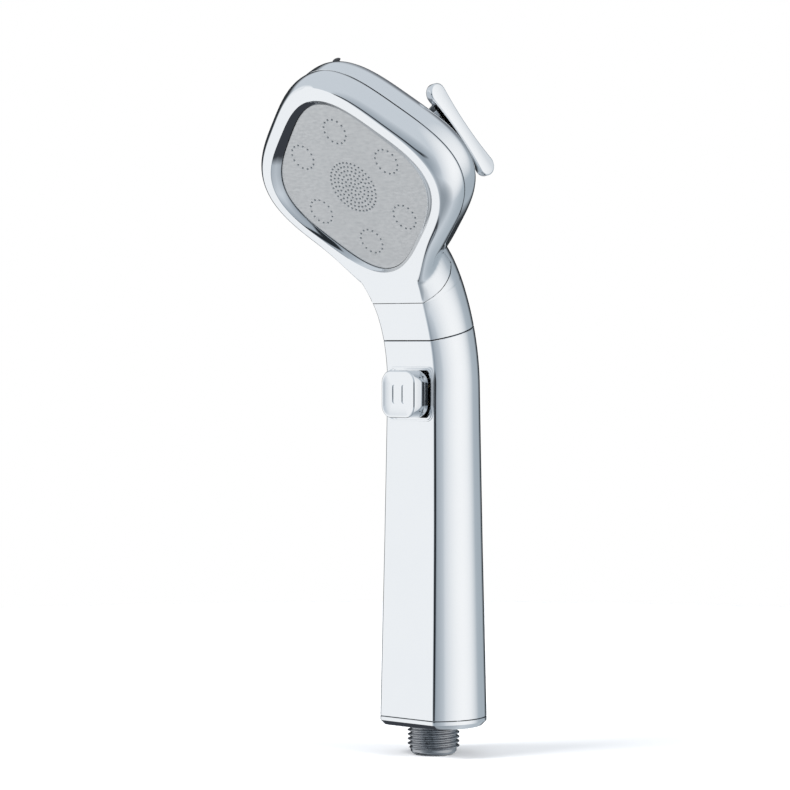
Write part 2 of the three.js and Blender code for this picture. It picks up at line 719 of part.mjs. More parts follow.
function buildDiverter() {
  const front = DIVERTER_FRONT;
  const cup = turnedY([
    [14.4, front], [22.6, front], [22.6, front + 1.6], [17, front + 1.6], [17, DIVERTER_BACK + 0.4],
    [9.4, DIVERTER_BACK + 0.4], [9.4, 24.3], [3.4, 24.3], [3.4, 19.9], [14.4, 19.9],
  ]);
  const port = turnedZ(rod(6.3, -22.5, -15), 20).transform(moved(0, RISER_DEEP, 0));
  const socket = turnedZ(rod(RISER_OUTER + GAP, -25, -16.5), 20).transform(moved(0, RISER_DEEP, 0));
  const inlet = turnedZ(rod(3.6, -20, -8), 16).transform(moved(0, RISER_DEEP, 0));
  const cavity = turnedY(rod(14.4, front - 1, 19.9));
  const screwHoles = circle(SCREW_CIRCLE, 3, Math.PI / 2).map(([x, z]) =>
    turnedY(rod(1.6, front - 1, front + 3), 10).transform(moved(x, 0, z)),
  );
  const pocket = turnedY(rod(1.6, 19, 23.6), 10).transform(moved(6.4, 0, 0));
  const ahead = turnedY(rod(30, 0, front + 0.02));
  const housing = without(union(cup, without(port, cavity, ahead)), socket, inlet, pocket, ...screwHoles);
  addPiece("diverter_housing", housing, WATERWAY, head);

  circle(SCREW_CIRCLE, 3, Math.PI / 2).forEach(([x, z], i) => {
    const seat = front + 1.9;
    const top = front + 3.2;
    const profile = [[0, 9.9], [1.2, 9.9], [1.2, seat], [2.4, seat], [2.4, top], [0, top]];
    addPiece(`housing_screw_${i + 1}`, turnedY(profile, 12), STEEL, head).position.set(x, 0, z);
  });

  buildRotor();
  const ball = solid(new THREE.SphereGeometry(1.25, 8, 6)).transform(moved(6.4, 20.3, 0));
  addPiece("detent_ball", ball, STEEL, head);
  const spring = helixSpring(0.95, 0.2, 21.7, 23.4, 3, 8);
  addPiece("detent_spring", spring, SPRING_STEEL, head).position.x = 6.4;
}

function buildRotor() {
  const front = DIVERTER_FRONT + 0.1;
  const profile = [
    [0, front], [13.9, front], [13.9, front + 1.7], [3, front + 1.7], [3, 17.2], [8, 17.2], [8, 18.7],
    [3, 18.7], [3, 21.6], [2.1, 21.6], [2.1, 22.9], [3, 22.9], [3, 31.4], [0, 31.4],
  ];
  const port = ([x, z]) => turnedY(rod(2.4, 8, 15), 12).transform(moved(x, 0, z));
  const ports = circle(9, 2, Math.PI / 2).map(port);
  const threaded = turnedY(rod(1.3, 26, 33), 10);
  addPiece("diverter_rotor", without(turnedY(profile, 18), ...ports, threaded), BRASS, head);
  addPiece("spindle_ring", turnedY(sealProfile(2.72, 0.42, 22.25), 12), RUBBER, head);
}

// ---- mode lever ---------------------------------------------------------------------------------
const HUB_FRONT = 29.3;
const HUB_BACK = 33.6;

function buildLever() {
  const seat = [
    [4.6, 24.9], [5.1, 24.9], [5.1, 27.3], [12.6, 27.3], [12.6, 27.9], [11.8, 28.7], [4.6, 28.7],
  ];
  addPiece("lever_escutcheon", turnedY(seat), CHROME, head);

  const disc = [[0, HUB_FRONT], [10.2, HUB_FRONT], [10.2, HUB_BACK - 0.8], [9.4, HUB_BACK], [0, HUB_BACK]];
  const hub = turnedY(disc);
  const arm = platelet(armShape(), HUB_FRONT, HUB_FRONT + 2.8);
  const bore = turnedY(rod(3 + GAP, HUB_FRONT - 1, 31.6), 16);
  const counterbore = turnedY(rod(4.8, 32, HUB_BACK + 1), 20);
  const screwHole = turnedY(rod(1.8, 31, 33), 12);
  const lever = without(union(hub, arm, paddle()), bore, counterbore, screwHole);
  addPiece("mode_lever", lever.transform(turned("y", -LEVER_ANGLE)), CHROME, head);

  const screw = [[0, 27.6], [1.1, 27.6], [1.1, 32.3], [2.6, 32.3], [2.6, 33], [0, 33]];
  addPiece("lever_screw", turnedY(screw, 12), STEEL, head);
  const cap = [[0, 33.3], [4.5, 33.3], [4.5, 33.7], [3.9, 34.1], [0, 34.1]];
  addPiece("lever_cap", turnedY(cap, 20), CHROME, head);
}

// The arm widens from the hub to the paddle; drawn pointing along +X.
function armShape() {
  const end = LEVER_REACH - PADDLE_THICK / 2;
  const shape = new THREE.Shape();
  shape.moveTo(0, -8);
  shape.quadraticCurveTo(end * 0.6, -6, end, -PADDLE_LONG * 0.36);
  shape.lineTo(end, PADDLE_LONG * 0.36);
  shape.quadraticCurveTo(end * 0.6, 6, 0, 8);
  return shape;
}

// The thumb paddle: a bar across the arm's end, waisted in the middle, its broad face outwards.
function paddle() {
  const half = PADDLE_LONG / 2;
  const end = 4.1;
  const waist = 3;
  const shape = new THREE.Shape();
  shape.absarc(half - end, 0, end, -Math.PI / 2, Math.PI / 2);
  shape.quadraticCurveTo(0, 2 * waist - end, end - half, end);
  shape.absarc(end - half, 0, end, Math.PI / 2, 1.5 * Math.PI);
  shape.quadraticCurveTo(0, end - 2 * waist, half - end, -end);
  const options = { depth: PADDLE_THICK, bevelEnabled: false, curveSegments: 7 };
  const bar = new THREE.ExtrudeGeometry(shape, options);
  bar.rotateZ(Math.PI / 2).rotateY(Math.PI / 2).rotateX(Math.PI / 2 + PADDLE_TILT);
  return solid(bar.translate(LEVER_REACH - PADDLE_THICK / 2, PADDLE_DEEP, 0));
}

function buildStud() {
  const profile = [
    [0, STUD_FOOT], [1.1, STUD_FOOT], [1.1, 45.1], [1.7, 45.1], [1.7, 45.5], [1.2, 45.9], [0, 45.9],
  ];
  addPiece("locating_stud", turnedZ(profile, 12), BLACK, head).position.y = STUD_DEEP;
}

buildShells();
buildGrip();
buildInlet();
buildValve();
buildRiser();
buildSprayPlate();
buildChambers();
buildDiverter();
buildLever();
buildStud();

handset.position.z = -THREAD_END; // puts the origin on the thread's end face

export default handset;
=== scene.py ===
import json
import math

import bmesh
import bpy
import numpy as np
from mathutils import Matrix, Vector
from mathutils.geometry import delaunay_2d_cdt


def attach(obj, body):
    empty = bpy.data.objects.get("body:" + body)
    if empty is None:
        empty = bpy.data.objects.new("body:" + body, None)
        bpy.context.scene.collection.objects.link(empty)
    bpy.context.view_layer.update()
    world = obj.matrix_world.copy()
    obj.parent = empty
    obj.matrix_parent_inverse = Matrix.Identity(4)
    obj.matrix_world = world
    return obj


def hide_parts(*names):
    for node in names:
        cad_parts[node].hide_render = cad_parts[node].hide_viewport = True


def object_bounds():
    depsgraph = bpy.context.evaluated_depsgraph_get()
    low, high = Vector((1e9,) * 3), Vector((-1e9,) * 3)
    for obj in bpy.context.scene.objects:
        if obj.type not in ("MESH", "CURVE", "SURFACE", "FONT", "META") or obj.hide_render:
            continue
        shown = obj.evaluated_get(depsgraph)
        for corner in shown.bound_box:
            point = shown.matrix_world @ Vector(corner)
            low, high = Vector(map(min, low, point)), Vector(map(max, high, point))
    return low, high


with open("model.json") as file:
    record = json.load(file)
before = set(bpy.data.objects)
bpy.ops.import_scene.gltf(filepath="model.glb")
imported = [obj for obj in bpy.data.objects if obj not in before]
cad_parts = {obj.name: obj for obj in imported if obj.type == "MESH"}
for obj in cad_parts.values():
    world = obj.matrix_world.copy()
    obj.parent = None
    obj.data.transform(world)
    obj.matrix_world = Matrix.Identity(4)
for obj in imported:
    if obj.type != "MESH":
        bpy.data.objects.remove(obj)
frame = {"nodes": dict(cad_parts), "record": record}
CAD_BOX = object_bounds()

MM = 0.001

# ---- the housing's shape, in millimetres: across, along the grip, and deep behind its front ----
BEND_START, BEND_RADIUS, LEAN = 150.0, 72.0, math.radians(32.2)
FLAT_START = BEND_START + BEND_RADIUS * LEAN
HEAD_ALONG = 237.2  # the head's centre
FACE_HALF, FACE_SQUASH, SEAM_SQUASH = 45.3, 0.97, 0.92
CORNER_POWER = 3.24
FLARE, FLARE_DEEP = 5.1, 10.0  # how far the side wall swells out, and how deep it is widest
FLARE_RADIUS = (FLARE**2 + FLARE_DEEP**2) / (2 * FLARE)
HEAD_DEEP, DOME_POWER = 27.0, 5
BLEND, BLEND_DEEP, BLEND_LEAST = 16.0, 13.0, 1.5  # fillet between head and neck
RIM_HALF, RIM_SQUASH, RIM_FLOOR_HALF = 41.1, 0.94, 37.1
FACE_DROP = -1.2  # the spray plate's centre is this far below the head's
LOW_SEAM, TONGUE_END = 168.0, 184.0
CAP_TOP, FOOT = 16.4, 12.8
THREAD_END = 1.3  # the frame's origin is this far up the grip coordinates
HALF_GAP = 0.15  # half of a seam's width
EDGE_DEEP, EDGE_WIDE = 0.5, 0.7  # rounding of the edges beside the grip's flat front
SHELL_WALL, CAP_WALL = 1.0, 1.2
SHELL_SHARP = 28  # degrees: a shell's gentler edges are shaded smooth
WIDTHS = (
    (0, 14.25), (16, 14.15), (55, 13.8), (100, 13.3), (144, 12.7),
    (172, 12.6), (183, 13.1), (194, 15.4), (225, 17),
)
DEPTHS = (
    (0, 38), (16, 37.6), (55, 35.8), (87, 34.4), (120, 33.3),
    (150, 32.4), (186, 31.2), (206, 28.2), (225, 24),
)
# Depth of the seam between the front and back shells, against the place along the grip.
SEAM = ((184, 0), (186, 8), (188.5, 15), (191, 19), (197, 17), (205, 10), (400, 10))
SEAM_DEEPEST = 19.2

# ---- rows of the shells ----
FACE_EDGE = ((0.42, 0.0), (0.14, 0.09))  # inset and depth
# Rows of the side wall, from the face at 0 to the seam at 1.
WALL_STEPS = (0.045, 0.09, 0.16, 0.24, 0.33, 0.43, 0.54, 0.66, 0.78, 0.9, 0.955)
WALL_END, WALL_END_INSETS = 0.985, (0.12, 0.6)
WALL_LOW_END = -0.72  # where the wall's even columns end, as a part of the head's height
# Rows of the sunk rim: how far from its edge (0) to its floor (1), and the depth.
RIM_ROWS = ((0.0, 0.05), (0.08, 0.2), (0.5, 0.8), (0.93, 1.4), (1.0, 1.55), (1.0, 2.1))
BACK_EDGE = ((0.7, 10.2), (0.14, 10.22))  # inset and depth
BACK_DEPTHS = (
    10.3, 10.7, 11.5, 12.5, 13.5, 14.5, 15.5, 16.5, 17.5, 18.5, 19.4, 20.3, 21.1, 21.9, 22.6,
    23.3, 23.9, 24.5, 25.0, 25.4, 25.8, 26.1, 26.35, 26.55, 26.7, 26.82, 26.91, 26.96, 26.985,
)
# Radius of the back's last row, under the lever's seat. The two rows before it are smaller, so the
# skin folds back over itself there, out of sight.
BACK_LAST_ROW = 6
NECK_END = ((0, 0.6), (0.02, 0.2), (0.2, 0))  # distance from the seam, and inset
NECK_TOP = 226
GRIP_END = ((0, 0.6), (0.02, 0.14), (0.16, 0))
CAP_END = ((0, 0.6), (0.03, 0.14), (0.15, 0))
CAP_BEVEL = (  # height over the foot, and inset
    (2.3, 0.0), (1.95, 0.06), (1.75, 0.22), (0.35, 1.62), (0.12, 1.86), (0, 2.2), (0, 2.8),
)
CAP_HOLE = 11.0
BACK_COLUMNS = 200
HALVINGS, SEARCH_LIMIT = 40, 70.0

# ---- inlet, button and spray plate ----
THREAD_MAJOR, THREAD_DEPTH, THREAD_PITCH = 10.4775, 1.162, 1.814
THREAD_LOW, THREAD_HIGH, THREAD_STEP = 1.1, 11.5, 0.09
THREAD_IN, THREAD_OUT = (1.8, 0.9), (11.4, 0.3)  # where the crest starts and ends, and its run
CREST_HIGH, CREST_SLOPE = 1.22, 2.9  # the crest's wedge before its top is cut off
INLET_BORE, INLET_TOP = 6.5, 15
BUTTON_Z, BUTTON_PROUD = 146.6, 7.8
BUTTON_WIDE, BUTTON_TALL, BUTTON_CORNER, BUTTON_LEAST_CORNER = 18, 19, 5, 0.6
BUTTON_SHARP = 32
BUTTON_FACE = (  # inset, and depth behind the button's face
    (8.2, 0.5), (6.5, 0.49), (4.5, 0.44), (2.8, 0.32), (1.7, 0.17), (1.1, 0.04), (0.8, 0.0),
    (0.5, 0.03), (0.22, 0.17), (0.05, 0.42), (0, 0.8), (0, 3.0), (0, 6.0),
)
BUTTON_SKIRT = ((0, -0.6), (0.05, 0.6), (0.1, 1.8), (2.0, 1.8))  # inset, and depth in the grip
BUTTON_ROOF = 2.4  # depth of the button's hollow behind its face
BAR_WIDE, BAR_TALL, BAR_CORNER, BAR_ACROSS, BAR_DEEP = 1.9, 7.6, 0.94, 2.5, 0.85
WINDOW_SIZE = (21.4, 20.9, 4.6)  # width, height and corner
WINDOW_FRONT, WINDOW_BACK = -30, -8  # the cutter's ends, on Y
BEZEL_OUTER, BEZEL_INNER = (24, 21.8, 3.0), (19.0, 20.0, 5.2)
# Rows of the frame round the button: growth from its outer or inner size, and depth.
BEZEL_FRONT = ((0, 0.3), (0, -0.1), (-0.1, -0.24), (-0.4, -0.3), (-0.7, -0.24))
BEZEL_WINDOW = ((0.35, 0.85), (0.1, 1.0), (0, 1.3), (0, 2.6), (0.4, 2.6), (0.4, 1.5))
BEZEL_BACK = (-1.4, 0.3)
PLATE_HALF, PLATE_DEEP = 36.9, 2.0
PLATE_SHARP = 12
JET_CIRCLE, JET_TURN = 24.7, math.radians(5.4)
JET_RING_RADIUS, JET_RING_HOLES = 5.3, 14
JET_ROW_STEP, JET_ROWS = 1.8, 7
HOLE_SIDES, HOLE_RADIUS, HOLE_MOUTH = 8, 0.2, 0.56
HOLE_ROWS = ((HOLE_MOUTH, 0), (HOLE_MOUTH * 0.8, 0.06), (HOLE_RADIUS, 0.26), (HOLE_RADIUS, 0.8))

# ---- mode lever and stud: profiles are [radius, depth behind the face] ----
LEVER_ANGLE = math.radians(9.3)
REACH = 38.0
PADDLE_LONG, PADDLE_THICK, PADDLE_DEEP, PADDLE_TILT = 43.2, 3.5, 31.0, math.radians(7)
PADDLE_END, PADDLE_WAIST, PADDLE_BEVEL = 4.1, 3.0, 0.7
ARM_START, ARM_THICK, ARM_LAP, ARM_BEVEL = 2, 2.8, 0.5, 0.5
ARM_HALF, ARM_MIDDLE, ARM_FLARE = 8, 6, 0.36  # half-widths, the last against the paddle's length
HUB_FRONT, HUB_BACK = 29.3, 33.6
HUB_PROFILE = (
    (3.4, HUB_FRONT), (10.2, HUB_FRONT), (10.2, HUB_BACK - 0.8), (9.4, HUB_BACK),
    (4.9, HUB_BACK), (4.9, 32.2), (3.4, 32.2),
)
LEVER_CAP_PROFILE = ((0, 33.2), (4.5, 33.2), (4.5, 33.7), (3.9, 34.05), (0, 34.1))
SEAT_PROFILE = (
    (4.6, 25.2), (5.1, 25.2), (5.1, 27.3), (12.6, 27.2), (12.6, 27.9), (11.8, 28.7), (4.6, 28.7),
)
STUD_DEEP = 20
STUD_PROFILE = (
    (0, 43.8), (1.1, 43.8), (1.1, 45.1), (1.65, 45.15), (1.65, 45.5), (1.1, 45.88), (0, 45.9),
)

# ---- floor and camera, in metres and degrees ----
FLOOR_RADIUS, FLOOR_SIDES, FLOOR_DROP = 0.7, 64, 0.0005
CAMERA_AZIMUTH, CAMERA_ELEVATION = 42.3, 1.0
CAMERA_HEIGHT, CAMERA_SHIFT = 0.1447, 0.0156
FOCAL_PIXELS, PICTURE_PIXELS, SENSOR_MM = 2922.0, 790, 36
PIXELS_PER_MM = 2.475  # at the object
BEVEL_LIMIT = 40  # degrees: sharper edges than this are bevelled


def table(pairs, at):
    return np.interp(at, [p for p, _ in pairs], [v for _, v in pairs])


def smooth_table(pairs, at, reach=5.0):
    """The table with its corners rounded, by averaging over a short length."""
    at = np.asarray(at, float)
    return sum(table(pairs, at + reach * k) for k in np.linspace(-1, 1, 9)) / 9


def section(along):
    """Radius and centre of the grip's round back, from its front's half-width and its depth."""
    half = smooth_table(WIDTHS, along)
    deep = smooth_table(DEPTHS, along)
    return (deep**2 + half**2) / (2 * deep), (deep**2 - half**2) / (2 * deep)


def floats(*values):
    return np.broadcast_arrays(*(np.asarray(v, float) for v in values))


def full_turn(count):
    return np.linspace(0, 2 * math.pi, count, endpoint=False)


def place(across, along, deep):
    """Grip coordinates as points in millimetres."""
    across, along, deep = floats(across, along, deep)
    turn = np.clip((along - BEND_START) / BEND_RADIUS, 0, LEAN)
    straight = np.minimum(along, BEND_START)
    beyond = np.maximum(along - FLAT_START, 0)
    y = -section(straight)[1] - BEND_RADIUS * (1 - np.cos(turn)) - beyond * np.sin(turn)
    z = straight + BEND_RADIUS * np.sin(turn) + beyond * np.cos(turn)
    return np.stack([across, y + deep * np.cos(turn), z + deep * np.sin(turn)], -1)


def squash_at(deep):
    """Height of the head's diamond against its width."""
    return FACE_SQUASH + (SEAM_SQUASH - FACE_SQUASH) * np.clip(deep / FLARE_DEEP, 0, 1)


def head_half(deep):
    """Half-width of the head's diamond: the wall swells out, then the back closes as a dome."""
    deep = np.asarray(deep, float)
    before = np.clip(FLARE_DEEP - deep, 0, None)
    front = FACE_HALF + FLARE - FLARE_RADIUS + np.sqrt(FLARE_RADIUS**2 - before**2)
    dome = np.clip((deep - FLARE_DEEP) / (HEAD_DEEP - FLARE_DEEP), 0, 1)
    back = (FACE_HALF + FLARE) * np.sqrt(1 - dome**DOME_POWER)
    return np.where(deep < FLARE_DEEP, front, back)


def diamond_width(half, up, squash):
    """Half-width of the rounded diamond at a height."""
    half, up, squash = floats(half, up, squash)
    height = np.abs(up) / squash
    low, high = np.zeros_like(height), half * 1.2
    for _ in range(HALVINGS):
        middle = (low + high) / 2
        total = (middle + height) ** CORNER_POWER + np.abs(middle - height) ** CORNER_POWER
        over = total > 2 * half**CORNER_POWER
        high, low = np.where(over, middle, high), np.where(over, low, middle)
    return np.where(height >= half, 0, low)


def diamond_reach(half, squash, w, u):
    """How many times (w, u) fits from the centre to the diamond's edge."""
    total = np.abs(w + u / squash) ** CORNER_POWER + np.abs(w - u / squash) ** CORNER_POWER
    return half * (2 / total) ** (1 / CORNER_POWER)


def wall_width(along, deep):
    """Half-width of head and neck together, with the fillet between them."""
    up = along - HEAD_ALONG
    radius, centre = section(along)
    neck = np.sqrt(np.maximum(radius**2 - (centre - deep) ** 2, 1))
    diamond = diamond_width(head_half(deep), up, squash_at(deep))
    fillet = np.maximum(BLEND * (1 - deep / BLEND_DEEP), BLEND_LEAST)
    near = np.maximum(fillet - np.abs(diamond - neck), 0) / fillet
    return np.where(up < 0, np.maximum(diamond, neck) + near**2 * fillet / 4, diamond)


# ---- meshes ----
def add_object(name, points, faces, material, body, sharp=35):
    """A mesh object from points in millimetres, moved so that the thread ends at the origin."""
    mesh = bpy.data.meshes.new(name)
    spots = (np.asarray(points) - (0, 0, THREAD_END)) * MM
    mesh.from_pydata([tuple(p) for p in spots], [], [tuple(int(i) for i in f) for f in faces])
    work = bmesh.new()
    work.from_mesh(mesh)
    bmesh.ops.remove_doubles(work, verts=work.verts, dist=2e-6)
    bmesh.ops.recalc_face_normals(work, faces=work.faces)
    work.to_mesh(mesh)
    work.free()
    mesh.materials.append(material)
    mesh.shade_smooth()
    mesh.set_sharp_from_angle(angle=math.radians(sharp))
    obj = bpy.data.objects.new(name, mesh)
    bpy.context.scene.collection.objects.link(obj)
    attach(obj, body)
    return obj


def grid_faces(rows, columns, wrap=False, start=0):
    """Four-cornered faces between rows of points."""
    faces = []
    for r in range(rows - 1):
        here, above = start + r * columns, start + (r + 1) * columns
        for c in range(columns if wrap else columns - 1):
            after = (c + 1) % columns
            faces.append((here + c, here + after, above + after, above + c))
    return faces


def joined(*grids):
    """Several grids (points, wrap) as one list of points and faces."""
    points, faces = [], []
    for spots, wrap in grids:
        start = sum(len(p) for p in points)
        faces += grid_faces(spots.shape[0], spots.shape[1], wrap, start)
        points.append(spots.reshape(-1, 3))
    return np.concatenate(points), faces


def apply_modifiers(obj, sharp):
    """Gives an object its modified mesh, with edges over an angle in degrees kept sharp."""
    depsgraph = bpy.context.evaluated_depsgraph_get()
    mesh = bpy.data.meshes.new_from_object(obj.evaluated_get(depsgraph))
    obj.modifiers.clear()
    obj.data = mesh
    obj.data.set_sharp_from_angle(angle=math.radians(sharp))
    return obj


def bevelled(obj, width, segments=3, sharp=35):
    modifier = obj.modifiers.new("edge", "BEVEL")
    modifier.width = width * MM
    modifier.segments = segments
    modifier.angle_limit = math.radians(BEVEL_LIMIT)
    return apply_modifiers(obj, sharp)


def cut(obj, cutter, sharp):
    """Cuts one object away from another and removes the cutter."""
    modifier = obj.modifiers.new("cut", "BOOLEAN")
    modifier.object = cutter
    modifier.solver = "EXACT"
    apply_modifiers(obj, sharp)
    bpy.data.objects.remove(cutter)
    return obj


def stand_for(obj, slot, *nodes):
    """Puts a piece in the place of its CAD nodes."""
    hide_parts(*nodes)
    return obj


def in_frame(matrix, points):
    m = np.array(matrix)
    return np.asarray(points) @ m[:3, :3].T + m[:3, 3]


def lathe(name, profile, material, body, turn, segments=72, sharp=30):
    """A closed solid of revolution about Z from [radius, height], then put in a frame."""
    angles = full_turn(segments)
    rings = np.array([[(r * math.cos(a), r * math.sin(a), h) for a in angles] for r, h in profile])
    points, faces = joined((np.concatenate([rings, rings[:1]]), True))
    return add_object(name, in_frame(turn, points), faces, material, body, sharp)


def rounded(profile, radius=0.3, steps=3):
    """A closed profile with its corners rounded, except those on the axis."""
    result = []
    count = len(profile)
    for i in range(count):
        here = np.array(profile[i], float)
        before = np.array(profile[i - 1], float) - here
        after = np.array(profile[(i + 1) % count], float) - here
        room = min(np.linalg.norm(before), np.linalg.norm(after)) * 0.45
        if here[0] < 1e-6 or room < 1e-6:
            result.append(tuple(here))
            continue
        r = min(radius, room)
        a = here + before / np.linalg.norm(before) * r
        b = here + after / np.linalg.norm(after) * r
        for t in np.linspace(0, 1, steps + 1):
            result.append(tuple((1 - t) ** 2 * a + 2 * t * (1 - t) * here + t**2 * b))
    return result


HEAD_FRAME = Matrix.Translation(place(0, HEAD_ALONG, 0)) @ Matrix.Rotation(LEAN, 4, "X")
LEVER_FRAME = HEAD_FRAME @ Matrix.Rotation(-LEVER_ANGLE, 4, "Y")
# A lathe's Z turned to +Y, which is the way back from the face.
DEPTH_FRAME = HEAD_FRAME @ Matrix.Rotation(-math.pi / 2, 4, "X")


# ---- materials ----
NOISE_LOW, NOISE_HIGH = 0.3, 0.7  # where most of a noise's values lie


def new_material(name, colour, metallic, roughness):
    material = bpy.data.materials.new(name)
    material.use_nodes = True
    shader = material.node_tree.nodes["Principled BSDF"]
    shader.inputs["Base Color"].default_value = (*colour, 1)
    shader.inputs["Metallic"].default_value = metallic
    shader.inputs["Roughness"].default_value = roughness
    return material, material.node_tree, shader


def noise(tree, scale, detail=3.0, stretch=(1, 1, 1)):
    coordinates = tree.nodes.new("ShaderNodeTexCoord")
    mapping = tree.nodes.new("ShaderNodeMapping")
    mapping.inputs["Scale"].default_value = stretch
    texture = tree.nodes.new("ShaderNodeTexNoise")
    texture.inputs["Scale"].default_value = scale
    texture.inputs["Detail"].default_value = detail
    tree.links.new(coordinates.outputs["Object"], mapping.inputs["Vector"])
    tree.links.new(mapping.outputs["Vector"], texture.inputs["Vector"])
    return texture.outputs["Fac"]


def roughened(tree, shader, value, low, high):
    """Gives a shader a roughness between two limits."""
    node = tree.nodes.new("ShaderNodeMapRange")
    node.inputs["From Min"].default_value = NOISE_LOW
    node.inputs["From Max"].default_value = NOISE_HIGH
    node.inputs["To Min"].default_value = low
    node.inputs["To Max"].default_value = high
    tree.links.new(value, node.inputs["Value"])
    tree.links.new(node.outputs["Result"], shader.inputs["Roughness"])


def tinted(tree, shader, value, dark, light):
    """Colours a shader between two tints."""
    node = tree.nodes.new("ShaderNodeMix")
    node.data_type = "RGBA"
    node.inputs["A"].default_value = (*dark, 1)
    node.inputs["B"].default_value = (*light, 1)
    tree.links.new(value, node.inputs["Factor"])
    tree.links.new(node.outputs["Result"], shader.inputs["Base Color"])


def bump(tree, shader, height, strength, distance):
    node = tree.nodes.new("ShaderNodeBump")
    node.inputs["Strength"].default_value = strength
    node.inputs["Distance"].default_value = distance
    tree.links.new(height, node.inputs["Height"])
    tree.links.new(node.outputs["Normal"], shader.inputs["Normal"])


def chrome_material():
    material, tree, shader = new_material("polished_chrome", (0.86, 0.875, 0.89), 1.0, 0.06)
    film = noise(tree, 38, 4)
    roughened(tree, shader, film, 0.035, 0.085)
    tinted(tree, shader, film, (0.845, 0.862, 0.88), (0.885, 0.895, 0.905))
    bump(tree, shader, noise(tree, 55, 2), 0.05, 0.0006)
    return material


def painted_shade_thread_material():
    """Chrome for the cut thread, painted darker than the polished shells as shade in its grooves,
    and less even.
    """
    material, tree, shader = new_material("thread_chrome_painted_shade", (0.42, 0.43, 0.45), 1.0, 0.2)
    film = noise(tree, 240, 4)
    roughened(tree, shader, film, 0.14, 0.3)
    tinted(tree, shader, film, (0.33, 0.34, 0.355), (0.5, 0.51, 0.53))
    bump(tree, shader, noise(tree, 900, 3), 0.25, 0.0001)
    return material


def brushed_material():
    material, tree, shader = new_material("brushed_plate", (0.6, 0.61, 0.62), 1.0, 0.36)
    grain = noise(tree, 1400, 3, (0.3, 1, 1))
    roughened(tree, shader, grain, 0.3, 0.46)
    tinted(tree, shader, noise(tree, 24, 3), (0.57, 0.58, 0.585), (0.635, 0.64, 0.645))
    bump(tree, shader, grain, 0.35, 0.00008)
    return material


def simple_material(name, colour, metallic, low, high, scale, strength):
    """A plain material with a roughness between two limits and fine surface unevenness."""
    material, tree, shader = new_material(name, colour, metallic, low)
    value = noise(tree, scale, 4)
    roughened(tree, shader, value, low, high)
    tinted(tree, shader, value, tuple(c * 0.88 for c in colour), colour)
    bump(tree, shader, noise(tree, scale * 6, 3), strength, 0.00012)
    return material


CHROME = chrome_material()
DARK_SHADED_THREAD = painted_shade_thread_material()
BRUSHED = brushed_material()
STEEL = simple_material("fastener_steel", (0.56, 0.57, 0.58), 1.0, 0.28, 0.45, 300, 0.2)
BRASS = simple_material("turned_brass", (0.71, 0.55, 0.29), 1.0, 0.22, 0.38, 260, 0.25)
ACETAL = simple_material("moulded_acetal", (0.82, 0.81, 0.77), 0.0, 0.42, 0.58, 180, 0.25)
BLACK = simple_material("black_moulding", (0.018, 0.018, 0.02), 0.0, 0.4, 0.62, 350, 0.3)
RUBBER = simple_material("seal_rubber", (0.022, 0.022, 0.023), 0.0, 0.62, 0.8, 420, 0.4)
SLOT_LOOKS = {
    "chrome_plate": CHROME,
    "brushed_plate": BRUSHED,
    "fastener_steel": STEEL,
    "brass_parts": BRASS,
    "waterway_plastic": ACETAL,
    "black_plastic": BLACK,
    "seal_rubber": RUBBER,
}
for part in frame["record"]["subparts"]:
    node = frame["nodes"][part["node"]]
    node.data.materials.clear()
    node.data.materials.append(SLOT_LOOKS[part["material_slot"]])


# ---- shells ----
def chrome_skin(name, *grids, wall=SHELL_WALL):
    """A shell of the housing from the grids of its outer skin, with its wall inwards."""
    points, faces = joined(*grids)
    obj = add_object(name, points, faces, CHROME, "housing", SHELL_SHARP)
    modifier = obj.modifiers.new("wall", "SOLIDIFY")
    modifier.thickness = wall * MM
    modifier.offset = -1
    return apply_modifiers(obj, SHELL_SHARP)


# Columns of the front shell's wall: even ones up from the tongue, then ones that crowd at the top.
LOW_STEPS = np.linspace(0, 1, 33, endpoint=False)
TURN_SINES = np.sin(np.linspace(math.asin(WALL_LOW_END), math.pi / 2, 77))


def wall_row(t, inset=0.0):
    """One row of the front shell's side wall: t = 0 at the face, 1 at the seam behind it."""
    top = head_half(FLARE_DEEP * t) * squash_at(FLARE_DEEP * t)
    start = TONGUE_END + HALF_GAP
    low = start + (HEAD_ALONG + TURN_SINES[0] * top - start) * LOW_STEPS
    along = np.concatenate([low, HEAD_ALONG + TURN_SINES * (top - inset)])
    deep = t * table(SEAM, along)
    for _ in range(3):  # the head's height depends on the depth, and the seam's depth on the height
        top = head_half(deep) * squash_at(deep) - inset
        along = np.concatenate([low, HEAD_ALONG + TURN_SINES * top[len(LOW_STEPS):]])
        deep = t * table(SEAM, along)
    width = np.maximum(wall_width(along, deep) - inset, 0)
    width[-1] = 0
    return width, along, deep


def mirrored(width, along, deep):
    right = place(width, along, deep)
    return np.concatenate([right * (-1, 1, 1), right[::-1][1:]])


def side_wall():
    rows = []
    for inset, deep in FACE_EDGE:
        width, along, _ = wall_row(0.0, inset)
        rows.append(mirrored(width, along, np.full_like(along, deep)))
    rows += [mirrored(*wall_row(t)) for t in WALL_STEPS]
    width, along, deep = wall_row(WALL_END)
    rows += [mirrored(np.maximum(width - inset, 0), along, deep) for inset in WALL_END_INSETS]
    return np.array(rows)


